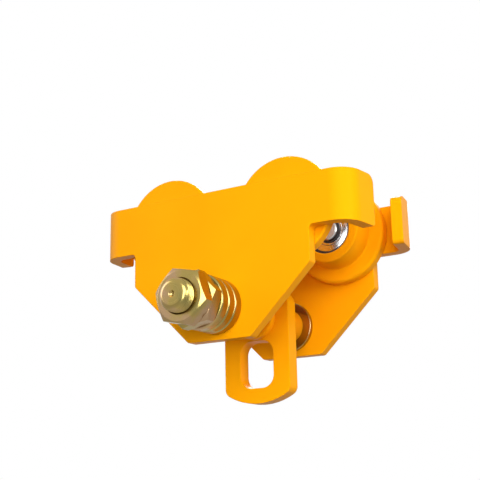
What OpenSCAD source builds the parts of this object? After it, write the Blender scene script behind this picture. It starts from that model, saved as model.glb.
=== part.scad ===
// Manual beam trolley: two bent side plates, four flanged wheels on ball bearings,
// and a stepped suspension shaft that carries a swinging load lug.
// X runs along the beam, Y across it, Z up. The origin is midway between the four wheels,
// at the level of the running surface that the treads stand on.

/* [Side plates] */
// Clear gap between the two side plates
inner_gap = 94; // [88:1:110]
// Thickness of a side plate
plate_t = 8; // [6:0.5:10]
// Height of the plate's straight top edge above the wheel axles
plate_top = 18; // [16:0.5:28]
// Half width of the plate's body below the wings
body_half_w = 69; // [62:0.5:76]
// Depth below the axles at which the corner bevels start
bevel_start = 41; // [33:0.5:47]
// Half width of the plate's bottom edge
foot_half_w = 24; // [21:0.5:32]
// Depth of the plate's bottom edge below the axles
plate_depth = 85; // [80:0.5:95]
// Radius of the plate's outline corners
plate_corner_r = 3; // [1:0.5:6]

/* [Bumper wings] */
// Distance from the middle to the start of a wing's bend
bend_start = 84; // [83:0.5:95]
// Inside radius of the bend
bend_r = 8; // [7:0.5:12]
// Angle through which a wing is bent
bend_angle = 82; // [60:1:90]
// Length of the straight tip beyond the bend
tip_len = 17; // [14:0.5:17]
// Depth of the wing's lower edge below the axles
wing_drop = 17; // [12:0.5:23]
// Radius of the tip's upper corner
tip_top_r = 6; // [2:0.5:9]
// Radius of the tip's lower corner
tip_low_r = 3; // [1:0.5:6]

/* [Wheels] */
// Distance between the two axles of one plate
wheel_base = 92; // [84:0.5:93]
// Outside diameter of the wheel's flange
flange_d = 72; // [68:0.5:80]
// Thickness of the flange
flange_t = 9; // [6:0.5:9]
// Diameter of the tread at the middle of its width
tread_d = 50; // [48:0.5:54]
// Width of the tread
tread_w = 18; // [17:0.5:19]
// Taper of the tread, in degrees
tread_taper = 5; // [0:0.5:7]
// Gap between the wheel and the side plate
wheel_gap = 1; // [0.5:0.1:2]
// Depth of the bearing's seat below the flange's outer face
seat_depth = 11.5; // [10:0.5:12.5]

/* [Wheel bearings and axles] */
// Bore of the ball bearing
bearing_bore = 15; // [13:0.5:15.5]
// Outside diameter of the ball bearing
bearing_od = 35; // [34.5:0.5:36]
// Width of the ball bearing
bearing_w = 11; // [10:0.5:11.5]
// Diameter of a ball
ball_d = 6; // [5:0.25:6.5]
// Number of balls
ball_n = 8; // [6:1:8]
// Diameter of the axle's collar between the plate and the bearing
collar_d = 21; // [19:0.5:21]
// Diameter of the axle where it passes through the side plate
shank_d = 16; // [14:0.5:18]
// Width of the countersink that the riveted end fills
rivet_flare = 2; // [1:0.25:3]

/* [Suspension shaft] */
// Height of the shaft's axis above the plates' bottom edge
shaft_above_foot = 22; // [20:0.5:22.5]
// Diameter of the shaft between its shoulders
shaft_d = 25; // [24:0.5:27]
// Diameter of the threaded ends
thread_d = 22; // [18:0.5:22]
// Length of the domed end that stands out past the outer nut
stud_out = 8; // [6:0.5:14]
// Radius of the dome on the shaft's end
dome_r = 4.5; // [2:0.5:5.5]
// Diameter of the collars on both sides of the lug
keeper_d = 32; // [29:0.5:32]
// Thickness of each of those collars
keeper_t = 5; // [3:0.5:8]

/* [Washers and nuts] */
// Outside diameter of the washers
washer_d = 37; // [34:0.5:42]
// Thickness of the washer inside each plate
inner_washer_t = 4; // [2:0.5:6]
// Thickness of each spacing washer outside the plates
spacer_t = 8; // [4:0.5:10]
// Number of spacing washers outside the front plate
front_spacer_n = 3; // [1:1:4]
// Number of spacing washers outside the rear plate
rear_spacer_n = 0; // [0:1:3]
// Width of the nuts across their flats
nut_af = 34; // [30:0.5:36]
// Height of each nut
nut_h = 11; // [9:0.5:18]

/* [Load lug] */
// Thickness of the lug
lug_t = 11; // [8:0.5:14]
// Width of the lug
lug_w = 51.5; // [48:0.5:54]
// Radius of the lug's head around the shaft
lug_head_r = 27.5; // [26.5:0.5:29]
// Length from the shaft's axis to the lug's lowest point
lug_len = 60; // [56:0.5:66]
// Radius of the lug's bottom edge
lug_base_r = 46; // [36:1:60]
// Radius of the lug's two bottom corners
lug_corner_r = 6; // [2:0.5:9]
// Width of the hook slot
slot_w = 26.5; // [22:0.5:30]
// Distance from the shaft's axis to the top of the slot
slot_top = 16.4; // [16.2:0.2:18]
// Thickness of the lug below the slot
slot_floor = 10.6; // [8:0.2:14]
// Radius of the slot's corners
slot_corner_r = 9; // [4:0.5:10]

/* [Clearances] */
// Radial gap between pieces that are fitted tight
seat_fit = 0.02; // [0.01:0.01:0.05]
// Radial running gap between the shaft and the lug
lug_fit = 0.08; // [0.02:0.01:0.1]
// Gap between the lug and each collar beside it
lug_side_gap = 0.3; // [0.2:0.05:0.6]
// Radial gap between the threaded ends and what slides on them
thread_gap = 0.25; // [0.1:0.05:0.6]
// Gap between a ball and its races
ball_fit = 0.04; // [0.02:0.01:0.08]

/* [Hidden] */
$fn = 72;

// Heights
axle_z = tread_d / 2;
shaft_drop = plate_depth - shaft_above_foot;
shaft_z = axle_z - shaft_drop;

// Distances from the middle plane, outwards
plate_in = inner_gap / 2;
plate_out = plate_in + plate_t;
wheel_out = plate_in - wheel_gap;
wheel_in = wheel_out - flange_t - tread_w;
bearing_out = wheel_out - seat_depth;
bearing_in = bearing_out - bearing_w;
shoulder = plate_in - inner_washer_t;

// Bearing
pitch_r = (bearing_bore + bearing_od) / 4;
groove_r = ball_d / 2 + ball_fit;
ring_gap_half = 1.75;
shield_t = 0.5;
shield_step = 0.5;
shield_inset = 0.4;
shield_play = 0.15;
ring_edge_r = 0.4;
cage_play = 0.55;
cage_side = 1;
cage_w = ball_d + 2 * cage_side;
pocket_play = 0.1;

// How far a cutting shape starts before, or ends past, the face that it cuts through
over = 1;
// How far the round of a wing's corner reaches past the two faces that it joins
tip_round_over = 0.02;

// Wheel: edges and the shoulder behind the bearing
tread_edge_r = 1.5;
flange_tread_r = 2.5;
flange_plate_r = 1.2;
seat_shoulder = 3.5;
seat_lead_in = 0.6;
seat_chamfer = 1;

// Axle and shaft ends
axle_chamfer = 0.8;
shaft_chamfer = 0.8;
centre_mark = [[0, 3], [1.6, 0.8], [2.2, 0]];

// Retaining rings and their grooves
axle_clip_t = 1;
axle_clip_depth = 0.35;
wheel_clip_t = 1.5;
wheel_clip_depth = 1;
clip_play = 0.1;
clip_edge = 0.03;
clip_opening = 26;
axle_clip_band = 2;
axle_clip_eye_r = 1.7;
wheel_clip_band = 3;
wheel_clip_eye_r = 2.6;
clip_hole_share = 0.45;
axle_end = wheel_in + 1;

// Washers and nuts
keeper_edge_r = [0.5, 1.2];
washer_bore_edge_r = 0.3;
inner_washer_edge_r = 0.6;
spacer_edge_r = 1.4;
nut_corner_r = nut_af / 2 / cos(30);
nut_face_r = 0.95 * nut_af / 2;
nut_bore_chamfer = [0.9, 0.6];
nut_turn = [-11, 12.3];

CORNERS = [
    ["front_left", -1, -1], ["front_right", 1, -1],
    ["rear_left", -1, 1], ["rear_right", 1, 1]
];
SIDES = [["front", -1, front_spacer_n], ["rear", 1, rear_spacer_n]];
CORNER_PARTS = [
    "wheel", "axle", "outer_ring", "inner_ring", "balls", "ball_cage",
    "bearing_shields", "axle_circlip", "wheel_circlip"
];
SIDE_PARTS = ["plate", "inner_washer", "lug_collar", "inner_nut", "outer_nut"];

paint = [0.98, 0.69, 0.02];
zinc = [0.72, 0.64, 0.35];
bright = [0.78, 0.79, 0.8];
spring = [0.25, 0.26, 0.28];
brass_tone = [0.8, 0.62, 0.25];

function unit(v) = v / norm(v);
function turn_of(a, b) = a[0] * b[1] - a[1] * b[0];
// Where a side's nuts start, and where its end of the shaft ends
function stack_out(s) = plate_out + s[2] * spacer_t;
function stud_end(s) = stack_out(s) + 2 * nut_h + stud_out;

// The small piece between a corner and the arc that rounds it
module corner_piece(before, corner, after, r) {
    to_before = unit(before - corner);
    to_after = unit(after - corner);
    half = acos(to_before * to_after) / 2;
    reach = r / tan(half);
    difference() {
        polygon([corner, corner + reach * to_before, corner + reach * to_after]);
        translate(corner + r / sin(half) * unit(to_before + to_after)) circle(r);
    }
}

// An outline, listed anticlockwise, whose corners are rounded: points hold x, y and the corner's radius
module rounded(points) {
    n = len(points);
    flat = [for (p = points) [p[0], p[1]]];
    function is_round(i, inward) = let(
        a = flat[i] - flat[(i + n - 1) % n], b = flat[(i + 1) % n] - flat[i]
    ) points[i][2] > 0 && (inward ? turn_of(a, b) < 0 : turn_of(a, b) > 0);
    difference() {
        union() {
            polygon(flat);
            for (i = [0:n - 1]) if (is_round(i, true))
                corner_piece(flat[(i + n - 1) % n], flat[i], flat[(i + 1) % n], points[i][2]);
        }
        for (i = [0:n - 1]) if (is_round(i, false))
            corner_piece(flat[(i + n - 1) % n], flat[i], flat[(i + 1) % n], points[i][2]);
    }
}

// A revolved piece on the Y axis: the outline's x is its radius and its y is the place along +Y
module turned() {
    rotate([-90, 0, 0]) rotate_extrude() children();
}

// Builds on the rear side as it is, and on the front side mirrored
module on_side(s) {
    if (s < 0) mirror([0, 1, 0]) children();
    else children();
}

module at_corner(c) {
    translate([c[1] * wheel_base / 2, 0, axle_z]) on_side(c[2]) children();
}

module at_shaft(s) {
    translate([0, 0, shaft_z]) on_side(s) children();
}

// The bent plate seen from above, rear side: its flat length, two bends and two straight tips
module plate_plan() {
    inner_reach = bend_r * tan(bend_angle / 2);
    outer_reach = (bend_r + plate_t) * tan(bend_angle / 2);
    along_tip = [cos(bend_angle), -sin(bend_angle)];
    outer_corner = [bend_start + outer_reach, plate_out];
    inner_corner = [bend_start + inner_reach, plate_in];
    outer_end = outer_corner + (outer_reach + tip_len) * along_tip;
    inner_end = inner_corner + (inner_reach + tip_len) * along_tip;
    rounded([
        [outer_end[0], outer_end[1], 0],
        [outer_corner[0], outer_corner[1], bend_r + plate_t],
        [-outer_corner[0], outer_corner[1], bend_r + plate_t],
        [-outer_end[0], outer_end[1], 0],
        [-inner_end[0], inner_end[1], 0],
        [-inner_corner[0], inner_corner[1], bend_r],
        [inner_corner[0], inner_corner[1], bend_r],
        [inner_end[0], inner_end[1], 0]
    ]);
}

// The plate seen from the front, about the axle height: its body and the strip that the wings are bent from
module plate_elevation() {
    strip_half_w = bend_start + bend_r + plate_t + tip_len;
    rounded([
        [-foot_half_w, -plate_depth, plate_corner_r],
        [foot_half_w, -plate_depth, plate_corner_r],
        [body_half_w, -bevel_start, plate_corner_r],
        [body_half_w, -wing_drop, plate_corner_r],
        [strip_half_w, -wing_drop, 0],
        [strip_half_w, plate_top + over, 0],
        [-strip_half_w, plate_top + over, 0],
        [-strip_half_w, -wing_drop, 0],
        [-body_half_w, -wing_drop, plate_corner_r],
        [-body_half_w, -bevel_start, plate_corner_r]
    ]);
}

// Cuts a right-angled corner to a quarter round, in the plane of a wing's tip
module tip_corner(r, height, below) {
    translate([-r, over, height]) mirror([0, 0, below]) rotate([90, 0, 0]) translate([0, -r])
        linear_extrude(plate_t + 2 * over) difference() {
            square(r + over);
            circle(r + tip_round_over);
        }
}

// Both rounded corners of the right-hand wing's tip
module tip_corners() {
    reach = (bend_r + plate_t) * tan(bend_angle / 2);
    translate([bend_start + reach, plate_out, 0]) rotate([0, 0, -bend_angle])
        translate([reach + tip_len, 0, 0]) {
            tip_corner(tip_top_r, plate_top, 0);
            tip_corner(tip_low_r, -wing_drop, 1);
        }
}

module axle_hole() {
    turned() polygon([
        [0, plate_in - over], [shank_d / 2 + seat_fit, plate_in - over],
        [shank_d / 2 + seat_fit, plate_out - rivet_flare],
        [shank_d / 2 + seat_fit + rivet_flare, plate_out],
        [shank_d / 2 + seat_fit + rivet_flare, plate_out + over], [0, plate_out + over]
    ]);
}

module plate() {
    color(paint) translate([0, 0, axle_z]) difference() {
        intersection() {
            translate([0, 0, -plate_depth - over]) linear_extrude(plate_depth + over + plate_top)
                plate_plan();
            translate([0, plate_out + over, 0]) rotate([90, 0, 0])
                linear_extrude(plate_out + over) plate_elevation();
        }
        tip_corners();
        mirror([1, 0, 0]) tip_corners();
        for (x = [-1, 1]) translate([x * wheel_base / 2, 0, 0]) axle_hole();
        translate([0, 0, -shaft_drop]) turned()
            translate([0, plate_in - over]) square([thread_d / 2 + thread_gap, plate_t + 2 * over]);
    }
}

module wheel() {
    taper = tread_w / 2 * tan(tread_taper);
    tread_out = wheel_out - flange_t;
    clip_out = bearing_in;
    clip_in = bearing_in - wheel_clip_t - clip_play;
    color(paint) turned() difference() {
        rounded([
            [bearing_bore / 2, wheel_in, 0],
            [tread_d / 2 - taper, wheel_in, tread_edge_r],
            [tread_d / 2 + taper, tread_out, tread_edge_r],
            [flange_d / 2, tread_out, flange_tread_r],
            [flange_d / 2, wheel_out, flange_plate_r],
            [bearing_bore / 2, wheel_out, 0]
        ]);
        // Through hole round the axle's collar
        square([bearing_od / 2 - seat_shoulder, wheel_out + over]);
        // Bearing seat and its lead-in
        polygon([
            [0, wheel_in - over], [bearing_od / 2 + seat_chamfer, wheel_in - over],
            [bearing_od / 2 + seat_chamfer, wheel_in], [bearing_od / 2 + seat_fit, wheel_in + seat_lead_in],
            [bearing_od / 2 + seat_fit, bearing_out], [0, bearing_out]
        ]);
        // Groove for the retaining ring
        translate([0, clip_in]) square([bearing_od / 2 + wheel_clip_depth, clip_out - clip_in]);
    }
}

module axle() {
    journal_r = bearing_bore / 2 - seat_fit;
    groove_in = bearing_in - axle_clip_t - clip_play;
    color(paint) turned() difference() {
        polygon([
            [0, axle_end], [journal_r - axle_chamfer, axle_end], [journal_r, axle_end + axle_chamfer],
            [journal_r, bearing_out], [collar_d / 2, bearing_out],
            [collar_d / 2, plate_in], [shank_d / 2, plate_in],
            [shank_d / 2, plate_out - rivet_flare], [shank_d / 2 + rivet_flare, plate_out],
            [0, plate_out]
        ]);
        translate([journal_r - axle_clip_depth, groove_in])
            square([axle_clip_depth + over, bearing_in - groove_in]);
    }
}

// A ring of the bearing, from one radius to the other, with its ball groove
module ring_profile(r_in, r_out) {
    difference() {
        rounded([
            [r_in, bearing_in, ring_edge_r], [r_out, bearing_in, ring_edge_r],
            [r_out, bearing_out, ring_edge_r], [r_in, bearing_out, ring_edge_r]
        ]);
        translate([pitch_r, bearing_in + bearing_w / 2]) circle(groove_r);
    }
}

module outer_ring() {
    step_r = pitch_r + ring_gap_half + shield_step;
    step_w = shield_inset + shield_t + seat_fit;
    color(bright) turned() difference() {
        ring_profile(pitch_r + ring_gap_half, bearing_od / 2);
        translate([0, bearing_in - over]) square([step_r, step_w + over]);
        translate([0, bearing_out - step_w]) square([step_r, step_w + over]);
    }
}

module inner_ring() {
    color(bright) turned() ring_profile(bearing_bore / 2, pitch_r - ring_gap_half);
}

module at_balls() {
    for (i = [0:ball_n - 1]) rotate([0, i * 360 / ball_n, 0])
        translate([pitch_r, bearing_in + bearing_w / 2, 0]) children();
}

module balls() {
    color(bright) at_balls() sphere(ball_d / 2);
}

module ball_cage() {
    inner_r = pitch_r - ring_gap_half + cage_play;
    outer_r = pitch_r + ring_gap_half - cage_play;
    color(brass_tone) difference() {
        turned() translate([inner_r, bearing_in + (bearing_w - cage_w) / 2])
            square([outer_r - inner_r, cage_w]);
        at_balls() rotate([0, 90, 0])
            cylinder(h = 2 * ring_gap_half, r = ball_d / 2 + pocket_play, center = true);
    }
}

module bearing_shields() {
    inner_r = pitch_r - ring_gap_half + shield_play;
    outer_r = pitch_r + ring_gap_half + shield_step - seat_fit;
    color(bright) turned() {
        for (y = [bearing_in + shield_inset, bearing_out - shield_inset - shield_t])
            translate([inner_r, y]) square([outer_r - inner_r, shield_t]);
    }
}

// A retaining ring's outline: its band lies between two circles, and its eyes stand beside the opening
module clip_outline(seat_r, band, eye_r, outside) {
    eye_at = outside ? seat_r + eye_r : seat_r - eye_r;
    rim = outside ? seat_r + band : seat_r;
    hole = outside ? seat_r : seat_r - band;
    difference() {
        union() {
            difference() {
                circle(rim);
                circle(hole);
            }
            for (a = [-1, 1]) rotate(a * clip_opening) translate([0, eye_at]) circle(eye_r);
        }
        if (outside) circle(seat_r);
        polygon([
            [0, 0], 2 * rim * [-sin(clip_opening), cos(clip_opening)],
            2 * rim * [sin(clip_opening), cos(clip_opening)]
        ]);
        for (a = [-1, 1]) rotate(a * clip_opening) translate([0, eye_at])
            circle(eye_r * clip_hole_share);
    }
}

module axle_circlip() {
    color(spring) translate([0, bearing_in, 0]) rotate([90, 0, 0]) linear_extrude(axle_clip_t)
        clip_outline(
            bearing_bore / 2 - seat_fit - axle_clip_depth + clip_edge, axle_clip_band, axle_clip_eye_r, true
        );
}

module wheel_circlip() {
    color(spring) translate([0, bearing_in, 0]) rotate([90, 0, 0]) linear_extrude(wheel_clip_t)
        clip_outline(
            bearing_od / 2 + wheel_clip_depth - clip_edge, wheel_clip_band, wheel_clip_eye_r, false
        );
}

// Half of the shaft's outline, from its middle to the domed end, which carries a turning centre's mark
module half_shaft(end) {
    difference() {
        rounded([
            [0, 0, 0], [shaft_d / 2, 0, 0], [shaft_d / 2, shoulder - shaft_chamfer, 0],
            [shaft_d / 2 - shaft_chamfer, shoulder, 0], [thread_d / 2, shoulder, 0],
            [thread_d / 2, end, dome_r], [0, end, 0]
        ]);
        polygon([
            for (p = centre_mark) [p[0], end - p[1]],
            [centre_mark[2][0], end + over], [0, end + over]
        ]);
    }
}

module suspension_shaft() {
    color(paint) at_shaft(1) turned() {
        half_shaft(stud_end(SIDES[1]));
        mirror([0, 1]) half_shaft(stud_end(SIDES[0]));
    }
}

// Cuts the lug's right-hand bottom corner to a round that runs into its curved bottom edge
module lug_corner() {
    base = [0, lug_base_r - lug_len];
    middle = [
        lug_w / 2 - lug_corner_r,
        base[1] - sqrt(pow(lug_base_r - lug_corner_r, 2) - pow(lug_w / 2 - lug_corner_r, 2))
    ];
    difference() {
        polygon([
            middle, [lug_w, middle[1]], [lug_w, -2 * lug_len], middle + 2 * lug_len * unit(middle - base)
        ]);
        translate(middle) circle(lug_corner_r);
    }
}

module load_lug() {
    base_y = lug_base_r - lug_len;
    color(paint) translate([0, lug_t / 2, shaft_z]) rotate([90, 0, 0]) linear_extrude(lug_t) difference() {
        intersection() {
            translate([-lug_w / 2, -lug_len - over]) square([lug_w, lug_len + lug_head_r + 2 * over]);
            union() {
                circle(lug_head_r);
                translate([-lug_w / 2, -lug_len]) square([lug_w, lug_len]);
            }
            union() {
                translate([0, base_y]) circle(lug_base_r);
                translate([-lug_w / 2, base_y]) square([lug_w, lug_len + lug_head_r]);
            }
        }
        for (s = [0, 1]) mirror([s, 0]) lug_corner();
        circle(shaft_d / 2 + lug_fit);
        rounded([
            [-slot_w / 2, -lug_len + slot_floor, slot_corner_r],
            [slot_w / 2, -lug_len + slot_floor, slot_corner_r],
            [slot_w / 2, -slot_top, slot_corner_r],
            [-slot_w / 2, -slot_top, slot_corner_r]
        ]);
    }
}

module lug_collar() {
    y = lug_t / 2 + lug_side_gap;
    r = shaft_d / 2 + seat_fit;
    color(paint) turned() rounded([
        [r, y, 0], [keeper_d / 2, y, keeper_edge_r[0]],
        [keeper_d / 2, y + keeper_t, keeper_edge_r[1]], [r, y + keeper_t, 0]
    ]);
}

// A washer that starts at y, with rounded outer edges
module washer(y, thickness, edge_r) {
    r = thread_d / 2 + thread_gap;
    color(zinc) turned() rounded([
        [r, y, washer_bore_edge_r], [washer_d / 2, y, edge_r],
        [washer_d / 2, y + thickness, edge_r], [r, y + thickness, washer_bore_edge_r]
    ]);
}

module nut(y, turn) {
    bore_r = thread_d / 2 + seat_fit;
    slope = (nut_corner_r + over - nut_face_r) * tan(30);
    color(zinc) intersection() {
        translate([0, y, 0]) rotate([-90, 0, 0]) rotate(turn)
            linear_extrude(nut_h) circle(nut_corner_r, $fn = 6);
        turned() polygon([
            [bore_r + nut_bore_chamfer[0], y], [nut_face_r, y], [nut_corner_r + over, y + slope],
            [nut_corner_r + over, y + nut_h - slope], [nut_face_r, y + nut_h],
            [bore_r + nut_bore_chamfer[0], y + nut_h], [bore_r, y + nut_h - nut_bore_chamfer[1]],
            [bore_r, y + nut_bore_chamfer[1]]
        ]);
    }
}

suspension_shaft();
load_lug();

for (s = SIDES) {
    on_side(s[1]) plate();
    at_shaft(s[1]) washer(shoulder, inner_washer_t, inner_washer_edge_r);
    at_shaft(s[1]) lug_collar();
    at_shaft(s[1]) nut(stack_out(s), nut_turn[0]);
    at_shaft(s[1]) nut(stack_out(s) + nut_h, nut_turn[1]);
    for (i = [1:1:s[2]]) at_shaft(s[1]) washer(plate_out + (i - 1) * spacer_t, spacer_t, spacer_edge_r);
}

for (c = CORNERS) {
    at_corner(c) wheel();
    at_corner(c) axle();
    at_corner(c) outer_ring();
    at_corner(c) inner_ring();
    at_corner(c) balls();
    at_corner(c) ball_cage();
    at_corner(c) bearing_shields();
    at_corner(c) axle_circlip();
    at_corner(c) wheel_circlip();
}
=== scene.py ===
"""The looks of a manual beam trolley: yellow enamel, yellow-passivated zinc and bearing steel.

The trolley hangs by four flanged wheels. Two bent side plates carry the wheels, and a stepped
suspension shaft joins the plates and carries the load lug. X is the way that it rolls, Y runs
along the shaft towards the rear plate, Z is up, and everything is in metres.
"""

import logging
import math
from dataclasses import dataclass
from enum import Enum

import bmesh
import bpy
from mathutils import Matrix, Vector

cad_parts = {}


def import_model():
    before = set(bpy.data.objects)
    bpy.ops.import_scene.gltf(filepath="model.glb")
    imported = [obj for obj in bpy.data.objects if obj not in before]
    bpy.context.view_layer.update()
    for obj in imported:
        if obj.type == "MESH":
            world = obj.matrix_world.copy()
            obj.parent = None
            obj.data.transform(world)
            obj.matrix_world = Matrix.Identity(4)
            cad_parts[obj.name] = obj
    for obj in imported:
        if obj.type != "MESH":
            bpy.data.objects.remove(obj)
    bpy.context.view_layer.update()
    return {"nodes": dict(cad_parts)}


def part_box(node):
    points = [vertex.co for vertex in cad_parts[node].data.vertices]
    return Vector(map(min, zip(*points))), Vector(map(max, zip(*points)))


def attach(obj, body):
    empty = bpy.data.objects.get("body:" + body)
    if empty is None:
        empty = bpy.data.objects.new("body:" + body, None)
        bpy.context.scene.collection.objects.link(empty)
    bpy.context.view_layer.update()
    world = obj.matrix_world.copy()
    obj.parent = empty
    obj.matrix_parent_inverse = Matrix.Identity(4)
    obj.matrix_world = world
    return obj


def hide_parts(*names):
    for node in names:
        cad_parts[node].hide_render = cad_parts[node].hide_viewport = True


LOG = logging.getLogger("beam_trolley")
CORNERS = ("front_left", "front_right", "rear_left", "rear_right")
# How far the enamel hides edges past a riveted axle's hole
RIVET_MARGIN = 0.002
EDGE_SAMPLES = 8
WHITE = (1.0, 1.0, 1.0, 1.0)

Colour = tuple[float, float, float]
Place = tuple[float, float, float]
Factor = bpy.types.NodeSocket | float


class Side(Enum):
    """The trolley's two sides, each with its plate and its end of the shaft."""

    FRONT = "front"
    REAR = "rear"


def feed(tree: bpy.types.NodeTree, value: Factor, socket: bpy.types.NodeSocket) -> None:
    """Wires a socket to another one, or sets it to a number.

    Args:
        tree: The node tree.
        value: The socket or number that it takes.
        socket: The socket that is fed.
    """
    if isinstance(value, bpy.types.NodeSocket):
        tree.links.new(value, socket)
    else:
        socket.default_value = value


def maths(
    tree: bpy.types.NodeTree, operation: str, first: Factor, second: Factor = 0.0
) -> bpy.types.NodeSocket:
    """Adds a Math node to a shader's or a modifier's tree.

    Args:
        tree: The node tree.
        operation: The Math node's operation.
        first: A socket or a number.
        second: A socket or a number.

    Returns:
        The result.
    """
    node = tree.nodes.new("ShaderNodeMath")
    node.operation = operation
    feed(tree, first, node.inputs[0])
    feed(tree, second, node.inputs[1])
    return node.outputs["Value"]


class NodeGraph:
    """A small helper that adds nodes to a material's tree and wires them."""

    def __init__(self, material: bpy.types.Material) -> None:
        """Starts from an empty tree with its output and one Principled shader.

        Args:
            material: The material whose nodes are built.
        """
        material.use_nodes = True
        self.tree = material.node_tree
        self.tree.nodes.clear()
        output = self.tree.nodes.new("ShaderNodeOutputMaterial")
        self.shader = self.tree.nodes.new("ShaderNodeBsdfPrincipled")
        self.link(self.shader.outputs["BSDF"], output.inputs["Surface"])
        self.place = self.tree.nodes.new("ShaderNodeTexCoord").outputs["Object"]

    def link(self, source: bpy.types.NodeSocket, target: bpy.types.NodeSocket) -> None:
        """Wires one socket to another."""
        self.tree.links.new(source, target)

    def set(self, **values: float | tuple[float, ...]) -> None:
        """Sets constants on the Principled shader's own sockets.

        Args:
            **values: Socket names with underscores for spaces, and their values.
        """
        for name, value in values.items():
            self.shader.inputs[name.replace("_", " ")].default_value = value

    def noise(
        self, scale: float, detail: float = 2.0, place: bpy.types.NodeSocket | None = None
    ) -> bpy.types.NodeSocket:
        """Adds a noise texture.

        Args:
            scale: Features per metre.
            detail: Octaves of finer noise.
            place: Where the noise is read, which is the place on the object if left out.

        Returns:
            The noise's factor.
        """
        texture = self.tree.nodes.new("ShaderNodeTexNoise")
        texture.inputs["Scale"].default_value = scale
        texture.inputs["Detail"].default_value = detail
        self.link(place or self.place, texture.inputs["Vector"])
        return texture.outputs["Fac"]

    def reach(self, axis_x: float, axis_z: float) -> bpy.types.NodeSocket:
        """Works out the distance from the nearer of two axes along Y, at axis_x and -axis_x.

        Args:
            axis_x: The axes' distance from the middle along X.
            axis_z: The axes' height.

        Returns:
            The distance in metres.
        """
        split = self.tree.nodes.new("ShaderNodeSeparateXYZ")
        self.link(self.place, split.inputs["Vector"])
        across = self.maths("SUBTRACT", self.maths("ABSOLUTE", split.outputs["X"]), axis_x)
        above = self.maths("SUBTRACT", split.outputs["Z"], axis_z)
        squared = self.maths("ADD", self.maths("POWER", across, 2.0), self.maths("POWER", above, 2.0))
        return self.maths("SQRT", squared)

    def rings(self, axis_z: float, scale: float) -> bpy.types.NodeSocket:
        """Adds noise that changes only with the distance from the shaft's axis and along it.

        Args:
            axis_z: The axis's height.
            scale: Marks per metre.

        Returns:
            The noise's factor.
        """
        split = self.tree.nodes.new("ShaderNodeSeparateXYZ")
        self.link(self.place, split.inputs["Vector"])
        along = self.tree.nodes.new("ShaderNodeCombineXYZ")
        self.link(self.reach(0.0, axis_z), along.inputs["X"])
        self.link(split.outputs["Y"], along.inputs["Y"])
        return self.noise(scale, 1.0, along.outputs["Vector"])

    def maths(self, operation: str, first: Factor, second: Factor = 0.0) -> bpy.types.NodeSocket:
        """Adds a Math node to this tree and returns its result."""
        return maths(self.tree, operation, first, second)

    def ramp(
        self, factor: bpy.types.NodeSocket, stops: list[tuple[float, Colour]]
    ) -> bpy.types.NodeSocket:
        """Adds a colour ramp.

        Args:
            factor: What the ramp reads.
            stops: Places from 0 to 1 and their colours.

        Returns:
            The ramp's colour.
        """
        node = self.tree.nodes.new("ShaderNodeValToRGB")
        elements = node.color_ramp.elements
        while len(elements) < len(stops):
            elements.new(0.5)
        for element, (place, colour) in zip(elements, stops):
            element.position = place
            element.color = (*colour, 1.0)
        self.link(factor, node.inputs["Fac"])
        return node.outputs["Color"]

    def spread(self, factor: bpy.types.NodeSocket, low: float, high: float) -> bpy.types.NodeSocket:
        """Maps 0 to 1 onto another range.

        Args:
            factor: The value that is mapped.
            low: The result at 0.
            high: The result at 1.

        Returns:
            The mapped value.
        """
        node = self.tree.nodes.new("ShaderNodeMapRange")
        node.inputs["To Min"].default_value = low
        node.inputs["To Max"].default_value = high
        self.link(factor, node.inputs["Value"])
        return node.outputs["Result"]

    def soft_edges(self, radius: Factor) -> None:
        """Rounds the edges in the shading, under any bump that is added later.

        Args:
            radius: The rounding's radius in metres.
        """
        node = self.tree.nodes.new("ShaderNodeBevel")
        node.samples = EDGE_SAMPLES
        feed(self.tree, radius, node.inputs["Radius"])
        self.link(node.outputs["Normal"], self.shader.inputs["Normal"])

    def bump(self, height: bpy.types.NodeSocket, depth: float, strength: float = 1.0) -> None:
        """Raises the surface by a height map, on top of any bump already there.

        Args:
            height: The height map, from 0 to 1.
            depth: The map's height in metres.
            strength: The share of the bump that shows.
        """
        node = self.tree.nodes.new("ShaderNodeBump")
        node.inputs["Distance"].default_value = depth
        node.inputs["Strength"].default_value = strength
        self.link(height, node.inputs["Height"])
        normal = self.shader.inputs["Normal"]
        if normal.is_linked:
            self.link(normal.links[0].from_socket, node.inputs["Normal"])
        self.link(node.outputs["Normal"], normal)


@dataclass(frozen=True)
class Enamel:
    """Thick gloss enamel, with slight orange peel and a little unevenness in its colour.

    It runs over the filled axle holes, on axes along Y at rivet_x and -rivet_x and at the height
    rivet_z, so the edges there don't show.
    """

    name: str
    colour: Colour
    deeper: Colour
    rivet_x: float
    rivet_z: float
    rivet_r: float
    edge_radius: float = 0.0009
    smoothest: float = 0.29
    roughest: float = 0.4
    ior: float = 1.3
    reflection: float = 0.14
    reflection_tint: Colour = (1.0, 0.66, 0.06)
    cloud_per_m: float = 16.0
    cloud_edges: tuple[float, float] = (0.35, 0.62)
    peel_per_m: float = 420.0
    peel_depth: float = 0.00005
    peel_strength: float = 0.35

    def material(self) -> bpy.types.Material:
        """Builds the enamel's material.

        Returns:
            The material.
        """
        material = bpy.data.materials.new(self.name)
        graph = NodeGraph(material)
        stops = list(zip(self.cloud_edges, (self.deeper, self.colour)))
        graph.link(graph.ramp(graph.noise(self.cloud_per_m, 3.0), stops), graph.shader.inputs["Base Color"])
        gloss = graph.spread(graph.noise(self.cloud_per_m * 2, 4.0), self.smoothest, self.roughest)
        graph.link(gloss, graph.shader.inputs["Roughness"])
        graph.set(IOR=self.ior, Specular_IOR_Level=self.reflection)
        graph.set(Specular_Tint=(*self.reflection_tint, 1.0))
        away = graph.maths("GREATER_THAN", graph.reach(self.rivet_x, self.rivet_z), self.rivet_r)
        graph.soft_edges(graph.maths("MULTIPLY", away, self.edge_radius))
        graph.bump(graph.noise(self.peel_per_m), self.peel_depth, self.peel_strength)
        return material


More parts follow.
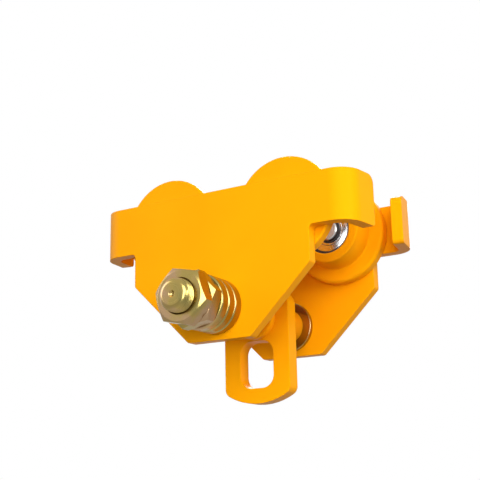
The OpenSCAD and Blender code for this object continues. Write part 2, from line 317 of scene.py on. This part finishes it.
@dataclass(frozen=True)
class Passivate:
    """Yellow-passivated zinc: a gold tone that drifts to rose and olive, over fine turning marks."""

    name: str
    gold: Colour
    rose: Colour
    olive: Colour
    axis_z: float
    edge_radius: float = 0.0004
    smoothest: float = 0.15
    roughest: float = 0.32
    glancing_tint: Colour = (1.0, 0.97, 0.88)
    drift_per_m: float = 55.0
    drift_edges: tuple[float, float, float] = (0.36, 0.5, 0.64)
    marks_per_m: float = 2600.0
    marks_depth: float = 0.00002
    marks_strength: float = 0.35
    dents_per_m: float = 140.0
    dents_depth: float = 0.00012
    dents_strength: float = 0.25

    def material(self) -> bpy.types.Material:
        """Builds the plating's material.

        Returns:
            The material.
        """
        material = bpy.data.materials.new(self.name)
        graph = NodeGraph(material)
        stops = list(zip(self.drift_edges, (self.olive, self.gold, self.rose)))
        graph.link(graph.ramp(graph.noise(self.drift_per_m), stops), graph.shader.inputs["Base Color"])
        graph.set(Metallic=1.0, Specular_Tint=(*self.glancing_tint, 1.0))
        graph.soft_edges(self.edge_radius)
        marks = graph.rings(self.axis_z, self.marks_per_m)
        graph.link(graph.spread(marks, self.smoothest, self.roughest), graph.shader.inputs["Roughness"])
        graph.bump(marks, self.marks_depth, self.marks_strength)
        graph.bump(graph.noise(self.dents_per_m), self.dents_depth, self.dents_strength)
        return material


@dataclass(frozen=True)
class BareMetal:
    """Bare metal with fine, even marks that darken it and change its gloss.

    The shares darkest, smoothest and roughest are of its colour and its roughness.
    """

    name: str
    colour: Colour
    roughness: float
    darkest: float = 0.8
    smoothest: float = 0.8
    roughest: float = 1.3
    marks_per_m: float = 900.0
    marks_edges: tuple[float, float] = (0.3, 0.7)
    marks_depth: float = 0.00001
    marks_strength: float = 0.3

    def material(self) -> bpy.types.Material:
        """Builds the metal's material.

        Returns:
            The material.
        """
        material = bpy.data.materials.new(self.name)
        graph = NodeGraph(material)
        marks = graph.noise(self.marks_per_m, 3.0)
        darker = tuple(self.darkest * channel for channel in self.colour)
        stops = list(zip(self.marks_edges, (darker, self.colour)))
        graph.link(graph.ramp(marks, stops), graph.shader.inputs["Base Color"])
        gloss = graph.spread(marks, self.smoothest * self.roughness, self.roughest * self.roughness)
        graph.link(gloss, graph.shader.inputs["Roughness"])
        graph.set(Metallic=1.0)
        graph.bump(marks, self.marks_depth, self.marks_strength)
        return material


def dress(piece: bpy.types.Object, material: bpy.types.Material) -> None:
    """Gives a piece one material in place of what it has.

    Args:
        piece: The object that is dressed.
        material: Its finish.
    """
    piece.data.materials.clear()
    piece.data.materials.append(material)


@dataclass
class SidePlates:
    """The two bent side plates, with the bumper wings at their ends."""

    nodes: dict[str, bpy.types.Object]
    paint: bpy.types.Material
    foot_half_w: float = 0.024
    # From a sharp corner point of the foot to the end of the arc that rounds it
    round_across: float = 0.00087
    round_up: float = 0.00085
    # Points closer than this count as one
    near: float = 0.00003

    def build(self) -> None:
        """Paints both plates and closes their lower corners."""
        closing = self.corner_closer(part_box("front_plate")[0].z)
        for side in Side:
            plate = self.nodes[f"{side.value}_plate"]
            dress(plate, self.paint)
            plate.modifiers.new("lower_corners", "NODES").node_group = closing
            LOG.info("%s plate painted", side.value)

    def corner_closer(self, bottom: float) -> bpy.types.GeometryNodeTree:
        """Builds the node group that folds the foot's two sharp corner points onto their rounding.

        Args:
            bottom: The height of the plate's lower edge.

        Returns:
            The group.
        """
        tree = bpy.data.node_groups.new("lower_corners", "GeometryNodeTree")
        for way in ("INPUT", "OUTPUT"):
            tree.interface.new_socket("Geometry", in_out=way, socket_type="NodeSocketGeometry")
        source = tree.nodes.new("NodeGroupInput")
        result = tree.nodes.new("NodeGroupOutput")
        move = tree.nodes.new("GeometryNodeSetPosition")
        split = tree.nodes.new("ShaderNodeSeparateXYZ")
        offset = tree.nodes.new("ShaderNodeCombineXYZ")
        tree.links.new(tree.nodes.new("GeometryNodeInputPosition").outputs[0], split.inputs[0])

        out = maths(tree, "ABSOLUTE", split.outputs["X"])
        outermost = maths(tree, "GREATER_THAN", out, self.foot_half_w - self.near)
        lowest = maths(tree, "LESS_THAN", split.outputs["Z"], bottom + self.near)
        way_out = maths(tree, "SIGN", split.outputs["X"])
        tree.links.new(maths(tree, "MULTIPLY", way_out, self.round_across), offset.inputs["X"])
        offset.inputs["Z"].default_value = self.round_up
        tree.links.new(source.outputs[0], move.inputs["Geometry"])
        tree.links.new(maths(tree, "MULTIPLY", outermost, lowest), move.inputs["Selection"])
        tree.links.new(offset.outputs[0], move.inputs["Offset"])
        tree.links.new(move.outputs["Geometry"], result.inputs[0])
        return tree


@dataclass
class Wheels:
    """The four flanged wheels, each with its axle, ball bearing and retaining rings."""

    nodes: dict[str, bpy.types.Object]
    paint: bpy.types.Material
    axle_steel: bpy.types.Material
    ring_steel: bpy.types.Material
    cage_brass: bpy.types.Material
    spring_steel: bpy.types.Material
    rivet_skin: float = 0.0001

    def build(self) -> None:
        """Dresses the wheel, axle and bearing at each corner."""
        finishes = {
            "wheel": self.paint,
            "axle": self.axle_steel,
            "outer_ring": self.ring_steel,
            "inner_ring": self.ring_steel,
            "balls": self.ring_steel,
            "ball_cage": self.cage_brass,
            "bearing_shields": self.ring_steel,
            "axle_circlip": self.spring_steel,
            "wheel_circlip": self.spring_steel,
        }
        for corner in CORNERS:
            for part, finish in finishes.items():
                dress(self.nodes[f"{corner}_{part}"], finish)
            self.paint_rivet(self.nodes[f"{corner}_axle"])
            LOG.info("%s wheel and bearing dressed", corner)

    def paint_rivet(self, axle: bpy.types.Object) -> None:
        """Paints the axle's riveted end, which lies flush with the plate's outer face.

        Args:
            axle: The axle's object.
        """
        outermost = max(abs(corner.y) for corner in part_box(axle.name))
        axle.data.materials.append(self.paint)
        for face in axle.data.polygons:
            if abs(face.center.y) > outermost - self.rivet_skin:
                face.material_index = 1


@dataclass
class ThreadedShaft:
    """The suspension shaft: a painted body between shoulders, and plated, threaded ends.

    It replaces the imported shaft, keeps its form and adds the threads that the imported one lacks.
    """

    axis_z: float
    body_r: float
    thread_r: float
    shoulder: float
    thread_start: float
    ends: dict[Side, float]
    dome_r: float = 0.0045
    chamfer: float = 0.0008
    step_w: float = 0.00001
    pitch: float = 0.0015
    thread_depth: float = 0.0009
    groove_floor: float = 1.15
    groove_slope: float = 2.6
    run_in: float = 0.002
    mark_r: float = 0.0022
    mark_depth: float = 0.0022
    mark_waist: tuple[float, float] = (0.7, 0.4)
    steps_round: int = 96
    steps_per_pitch: int = 8
    dome_steps: int = 24
    sharp_deg: float = 50.0

    def point(self, radius: float, turn: float, along: float) -> Place:
        """A point at a radius from the axis, a share of a turn round it and a place along it."""
        angle = 2 * math.pi * turn
        return (radius * math.sin(angle), along, self.axis_z + radius * math.cos(angle))

    def outline(self, along: float, end: float) -> float:
        """The radius of the plain shaft at a distance from its middle.

        Args:
            along: The distance along the axis.
            end: The distance at which this half of the shaft ends.

        Returns:
            The radius before the thread is cut.
        """
        if along <= self.shoulder - self.chamfer:
            return self.body_r
        if along <= self.shoulder:
            return self.body_r - (along - self.shoulder + self.chamfer)
        past = along - (end - self.dome_r)
        if past <= 0.0:
            return self.thread_r
        return self.thread_r - self.dome_r + math.sqrt(max(self.dome_r**2 - past**2, 0.0))

    def thread_cut(self, along: float, turn: float) -> float:
        """How deep the thread is cut.

        Args:
            along: The signed place along the axis.
            turn: The angle about the axis, as a share of a full turn.

        Returns:
            The depth below the thread's outer radius.
        """
        phase = (along / self.pitch - turn) % 1.0
        groove = min(max(self.groove_floor - self.groove_slope * abs(phase - 0.5), 0.0), 1.0)
        grown = min(max((abs(along) - self.thread_start) / self.run_in, 0.0), 1.0)
        return self.thread_depth * groove * grown

    def stations(self, end: float) -> list[float]:
        """The distances from the middle at which a ring of points lies.

        Args:
            end: The distance at which this half of the shaft ends.

        Returns:
            The distances, up to the dome's flat end.
        """
        shoulder, steps = self.shoulder, self.dome_steps
        plain = [0.0, shoulder / 2, shoulder - self.chamfer, shoulder, shoulder + self.step_w]
        dome_start = end - self.dome_r
        thread_len = dome_start - self.thread_start
        count = int(thread_len / (self.pitch / self.steps_per_pitch))
        threaded = [self.thread_start + i * thread_len / count for i in range(count)]
        dome = [dome_start + self.dome_r * math.sin(i / steps * math.pi / 2) for i in range(steps + 1)]
        return plain + threaded + dome

    def build(self, paint: bpy.types.Material, zinc: bpy.types.Material) -> None:
        """Builds the shaft's mesh and paints its body.

        Args:
            paint: The body's finish.
            zinc: The finish of the threaded ends.
        """
        shape = bmesh.new()
        front, rear = self.ends[Side.FRONT], self.ends[Side.REAR]
        rings = []
        for along in [-s for s in reversed(self.stations(front)[1:])] + self.stations(rear):
            ring = []
            for i in range(self.steps_round):
                turn = i / self.steps_round
                radius = self.outline(abs(along), front if along < 0.0 else rear)
                if abs(along) > self.shoulder:
                    radius = min(radius, self.thread_r - self.thread_cut(along, turn))
                ring.append(shape.verts.new(self.point(radius, turn, along)))
            rings.append(ring)
        for first, second in zip(rings, rings[1:]):
            painted = abs(first[0].co.y) <= self.shoulder and abs(second[0].co.y) <= self.shoulder
            for i in range(self.steps_round):
                j = (i + 1) % self.steps_round
                face = shape.faces.new((first[i], first[j], second[j], second[i]))
                face.smooth = True
                face.material_index = 0 if painted else 1
        self.close_end(shape, rings[0], -front, -1.0)
        self.close_end(shape, rings[-1], rear, 1.0)
        bmesh.ops.recalc_face_normals(shape, faces=shape.faces)
        mesh = bpy.data.meshes.new("threaded_shaft")
        shape.to_mesh(mesh)
        shape.free()
        shaft = bpy.data.objects.new("threaded_shaft", mesh)
        bpy.context.scene.collection.objects.link(shaft)
        mesh.materials.append(paint)
        mesh.materials.append(zinc)
        mesh.set_sharp_from_angle(angle=math.radians(self.sharp_deg))
        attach(shaft, "frame")
        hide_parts("suspension_shaft")

    def close_end(
        self, shape: bmesh.types.BMesh, ring: list[bmesh.types.BMVert], end: float, sign: float
    ) -> None:
        """Closes an end with its flat and the mark that the lathe's centre left.

        Args:
            shape: The mesh that is built.
            ring: The dome's last ring.
            end: The flat's place along Y.
            sign: Which way the end points along Y.
        """
        last = ring
        waist = (self.mark_waist[0] * self.mark_r, self.mark_waist[1] * self.mark_depth)
        for radius, depth in ((self.mark_r, 0.0), waist):
            turns = [i / self.steps_round for i in range(self.steps_round)]
            inner = [shape.verts.new(self.point(radius, turn, end - sign * depth)) for turn in turns]
            for i in range(self.steps_round):
                j = (i + 1) % self.steps_round
                face = shape.faces.new((last[i], last[j], inner[j], inner[i]))
                face.smooth = True
                face.material_index = 1
            last = inner
        tip = shape.verts.new((0.0, end - sign * self.mark_depth, self.axis_z))
        for i in range(self.steps_round):
            face = shape.faces.new((last[i], last[(i + 1) % self.steps_round], tip))
            face.smooth = True
            face.material_index = 1


@dataclass
class Suspension:
    """The suspension shaft with its collars, washers and nuts."""

    nodes: dict[str, bpy.types.Object]
    paint: bpy.types.Material
    zinc: bpy.types.Material
    thread_r: float = 0.011

    def build(self) -> None:
        """Dresses the shaft and everything threaded or slid onto it."""
        low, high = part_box("suspension_shaft")
        ThreadedShaft(
            axis_z=(low.z + high.z) / 2,
            body_r=(high.z - low.z) / 2,
            thread_r=self.thread_r,
            shoulder=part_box("rear_inner_washer")[0].y,
            thread_start=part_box("rear_inner_nut")[0].y,
            ends={Side.FRONT: -low.y, Side.REAR: high.y},
        ).build(self.paint, self.zinc)
        LOG.info("suspension shaft threaded")
        for side in Side:
            dress(self.nodes[f"{side.value}_lug_collar"], self.paint)
            for name, piece in self.nodes.items():
                if name.startswith(side.value) and ("_nut" in name or "_washer" in name):
                    dress(piece, self.zinc)
            LOG.info("%s washers and nuts plated", side.value)


@dataclass
class LoadLug:
    """The lug that swings on the shaft and takes the hoist's hook in its slot."""

    nodes: dict[str, bpy.types.Object]
    paint: bpy.types.Material

    def build(self) -> None:
        """Paints the lug."""
        dress(self.nodes["load_lug"], self.paint)
        LOG.info("load lug painted")


@dataclass
class PhotoCamera:
    """The camera: below the trolley, turned towards its front right."""

    azimuth_deg: float = 30.8
    elevation_deg: float = -14.92
    roll_deg: float = -1.09
    place: Place = (0.336, -0.5887, -0.1603)
    lens_mm: float = 72.47
    sensor_mm: float = 36.0
    nearest: float = 0.05
    furthest: float = 50.0

    def build(self) -> None:
        """Makes the camera and hands it to the scene."""
        azimuth, elevation, roll = (
            math.radians(angle) for angle in (self.azimuth_deg, self.elevation_deg, self.roll_deg)
        )
        level = Vector((math.cos(azimuth), math.sin(azimuth), 0.0))
        back = Vector((
            math.sin(azimuth) * math.cos(elevation),
            -math.cos(azimuth) * math.cos(elevation),
            math.sin(elevation),
        ))
        upright = back.cross(level)
        right = math.cos(roll) * level + math.sin(roll) * upright
        up = math.cos(roll) * upright - math.sin(roll) * level
        data = bpy.data.cameras.new("photo_camera")
        data.lens = self.lens_mm
        data.sensor_width = self.sensor_mm
        data.clip_start = self.nearest
        data.clip_end = self.furthest
        camera = bpy.data.objects.new("photo_camera", data)
        camera.matrix_world = Matrix.Translation(self.place) @ Matrix((right, up, back)).transposed().to_4x4()
        bpy.context.scene.collection.objects.link(camera)
        bpy.context.scene.camera = camera
        LOG.info("camera placed")


@dataclass(frozen=True)
class Lamp:
    """A square soft lamp that faces the trolley."""

    name: str
    place: Place
    side: float
    watts: float
    spread_deg: float = 80.0

    def build(self) -> None:
        """Makes the lamp and hides it from the camera."""
        data = bpy.data.lights.new(self.name, "AREA")
        data.shape = "SQUARE"
        data.size = self.side
        data.energy = self.watts
        data.spread = math.radians(self.spread_deg)
        lamp = bpy.data.objects.new(self.name, data)
        lamp.location = self.place
        lamp.visible_camera = False
        lamp.rotation_mode = "QUATERNION"
        lamp.rotation_quaternion = (-Vector(self.place)).to_track_quat("-Z", "Y")
        bpy.context.scene.collection.objects.link(lamp)


@dataclass
class Studio:
    """A pale floor under the hanging trolley, a white surround and soft lamps."""

    lamps: tuple[Lamp, ...] = (
        Lamp("key", (0.68, -0.95, 0.48), 0.85, 2.8),
        Lamp("low", (0.55, -1.1, -0.12), 0.5, 1.2),
        Lamp("side", (1.15, -0.35, 0.15), 0.5, 1.6),
        Lamp("left", (-1.1, -0.5, 0.5), 0.8, 1.2),
        Lamp("back", (-0.5, 1.2, 0.7), 0.8, 5.0),
    )
    floor_z: float = -0.8
    floor_half: float = 40.0
    floor_glow: float = 0.56
    floor_greys: tuple[float, float] = (0.58, 0.62)
    floor_edges: tuple[float, float] = (0.3, 0.7)
    floor_cloud_per_m: float = 3.0
    floor_roughness: float = 0.8
    soft_light: float = 0.16

    def build(self) -> None:
        """Makes the floor, the surround and the lamps."""
        self.floor()
        self.surround()
        for lamp in self.lamps:
            lamp.build()
        bpy.context.scene.view_settings.view_transform = "Standard"
        LOG.info("studio lit")

    def floor(self) -> None:
        """Lays the pale floor, which isn't part of the trolley."""
        mesh = bpy.data.meshes.new("floor")
        shape = bmesh.new()
        bmesh.ops.create_grid(shape, x_segments=1, y_segments=1, size=self.floor_half)
        shape.to_mesh(mesh)
        shape.free()
        floor = bpy.data.objects.new("floor", mesh)
        floor.location.z = self.floor_z
        bpy.context.scene.collection.objects.link(floor)
        material = bpy.data.materials.new("pale_floor")
        graph = NodeGraph(material)
        stops = [(edge, (grey, grey, grey)) for edge, grey in zip(self.floor_edges, self.floor_greys)]
        cloud = graph.noise(self.floor_cloud_per_m, 3.0)
        graph.link(graph.ramp(cloud, stops), graph.shader.inputs["Base Color"])
        graph.set(Roughness=self.floor_roughness, Specular_IOR_Level=0.0, Emission_Color=WHITE)
        glow = graph.maths("MULTIPLY", self.seen(graph.tree), self.floor_glow)
        graph.link(glow, graph.shader.inputs["Emission Strength"])
        dress(floor, material)

    def seen(self, tree: bpy.types.NodeTree) -> bpy.types.NodeSocket:
        """Tells the camera's rays and those that it meets in metal or glass from the rays that light.

        Args:
            tree: The node tree that asks.

        Returns:
            1 on a ray that shows the background, and 0 on one that lights the trolley.
        """
        rays = tree.nodes.new("ShaderNodeLightPath")
        shown = rays.outputs["Is Camera Ray"]
        for way in ("Is Glossy Ray", "Is Transmission Ray"):
            shown = maths(tree, "MAXIMUM", shown, rays.outputs[way])
        return shown

    def surround(self) -> None:
        """Makes the world white to the camera and in reflections, and a plain soft light elsewhere."""
        world = bpy.data.worlds.new("surround")
        bpy.context.scene.world = world
        world.use_nodes = True
        tree = world.node_tree
        tree.nodes.clear()
        output = tree.nodes.new("ShaderNodeOutputWorld")
        mix = tree.nodes.new("ShaderNodeMixShader")
        tree.links.new(self.seen(tree), mix.inputs["Fac"])
        for socket, strength in ((mix.inputs[1], self.soft_light), (mix.inputs[2], 1.0)):
            sky = tree.nodes.new("ShaderNodeBackground")
            sky.inputs["Color"].default_value = WHITE
            sky.inputs["Strength"].default_value = strength
            tree.links.new(sky.outputs["Background"], socket)
        tree.links.new(mix.outputs["Shader"], output.inputs["Surface"])


def main() -> None:
    """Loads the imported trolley, dresses every piece and lights it."""
    logging.basicConfig(level=logging.INFO, format="%(name)s: %(message)s")
    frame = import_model()
    PhotoCamera().build()
    nodes = frame["nodes"]
    low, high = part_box("suspension_shaft")
    shaft_z = (low.z + high.z) / 2
    rivet_low, rivet_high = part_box("rear_right_axle")
    paint = Enamel(
        "yellow_enamel",
        colour=(0.95, 0.37, 0.002),
        deeper=(0.93, 0.35, 0.002),
        rivet_x=(rivet_low.x + rivet_high.x) / 2,
        rivet_z=(rivet_low.z + rivet_high.z) / 2,
        rivet_r=(rivet_high.x - rivet_low.x) / 2 + RIVET_MARGIN,
    ).material()
    zinc = Passivate(
        "yellow_passivate",
        gold=(0.39, 0.285, 0.085),
        rose=(0.43, 0.28, 0.15),
        olive=(0.31, 0.25, 0.08),
        axis_z=shaft_z,
    ).material()
    SidePlates(nodes, paint).build()
    Wheels(
        nodes,
        paint,
        BareMetal("axle_steel", (0.5, 0.49, 0.47), 0.3).material(),
        BareMetal("ring_steel", (0.62, 0.63, 0.64), 0.14).material(),
        BareMetal("cage_brass", (0.72, 0.5, 0.18), 0.3).material(),
        BareMetal("spring_steel", (0.07, 0.07, 0.075), 0.4).material(),
    ).build()
    Suspension(nodes, paint, zinc).build()
    LoadLug(nodes, paint).build()
    Studio().build()


if __name__ == "__main__":
    main()
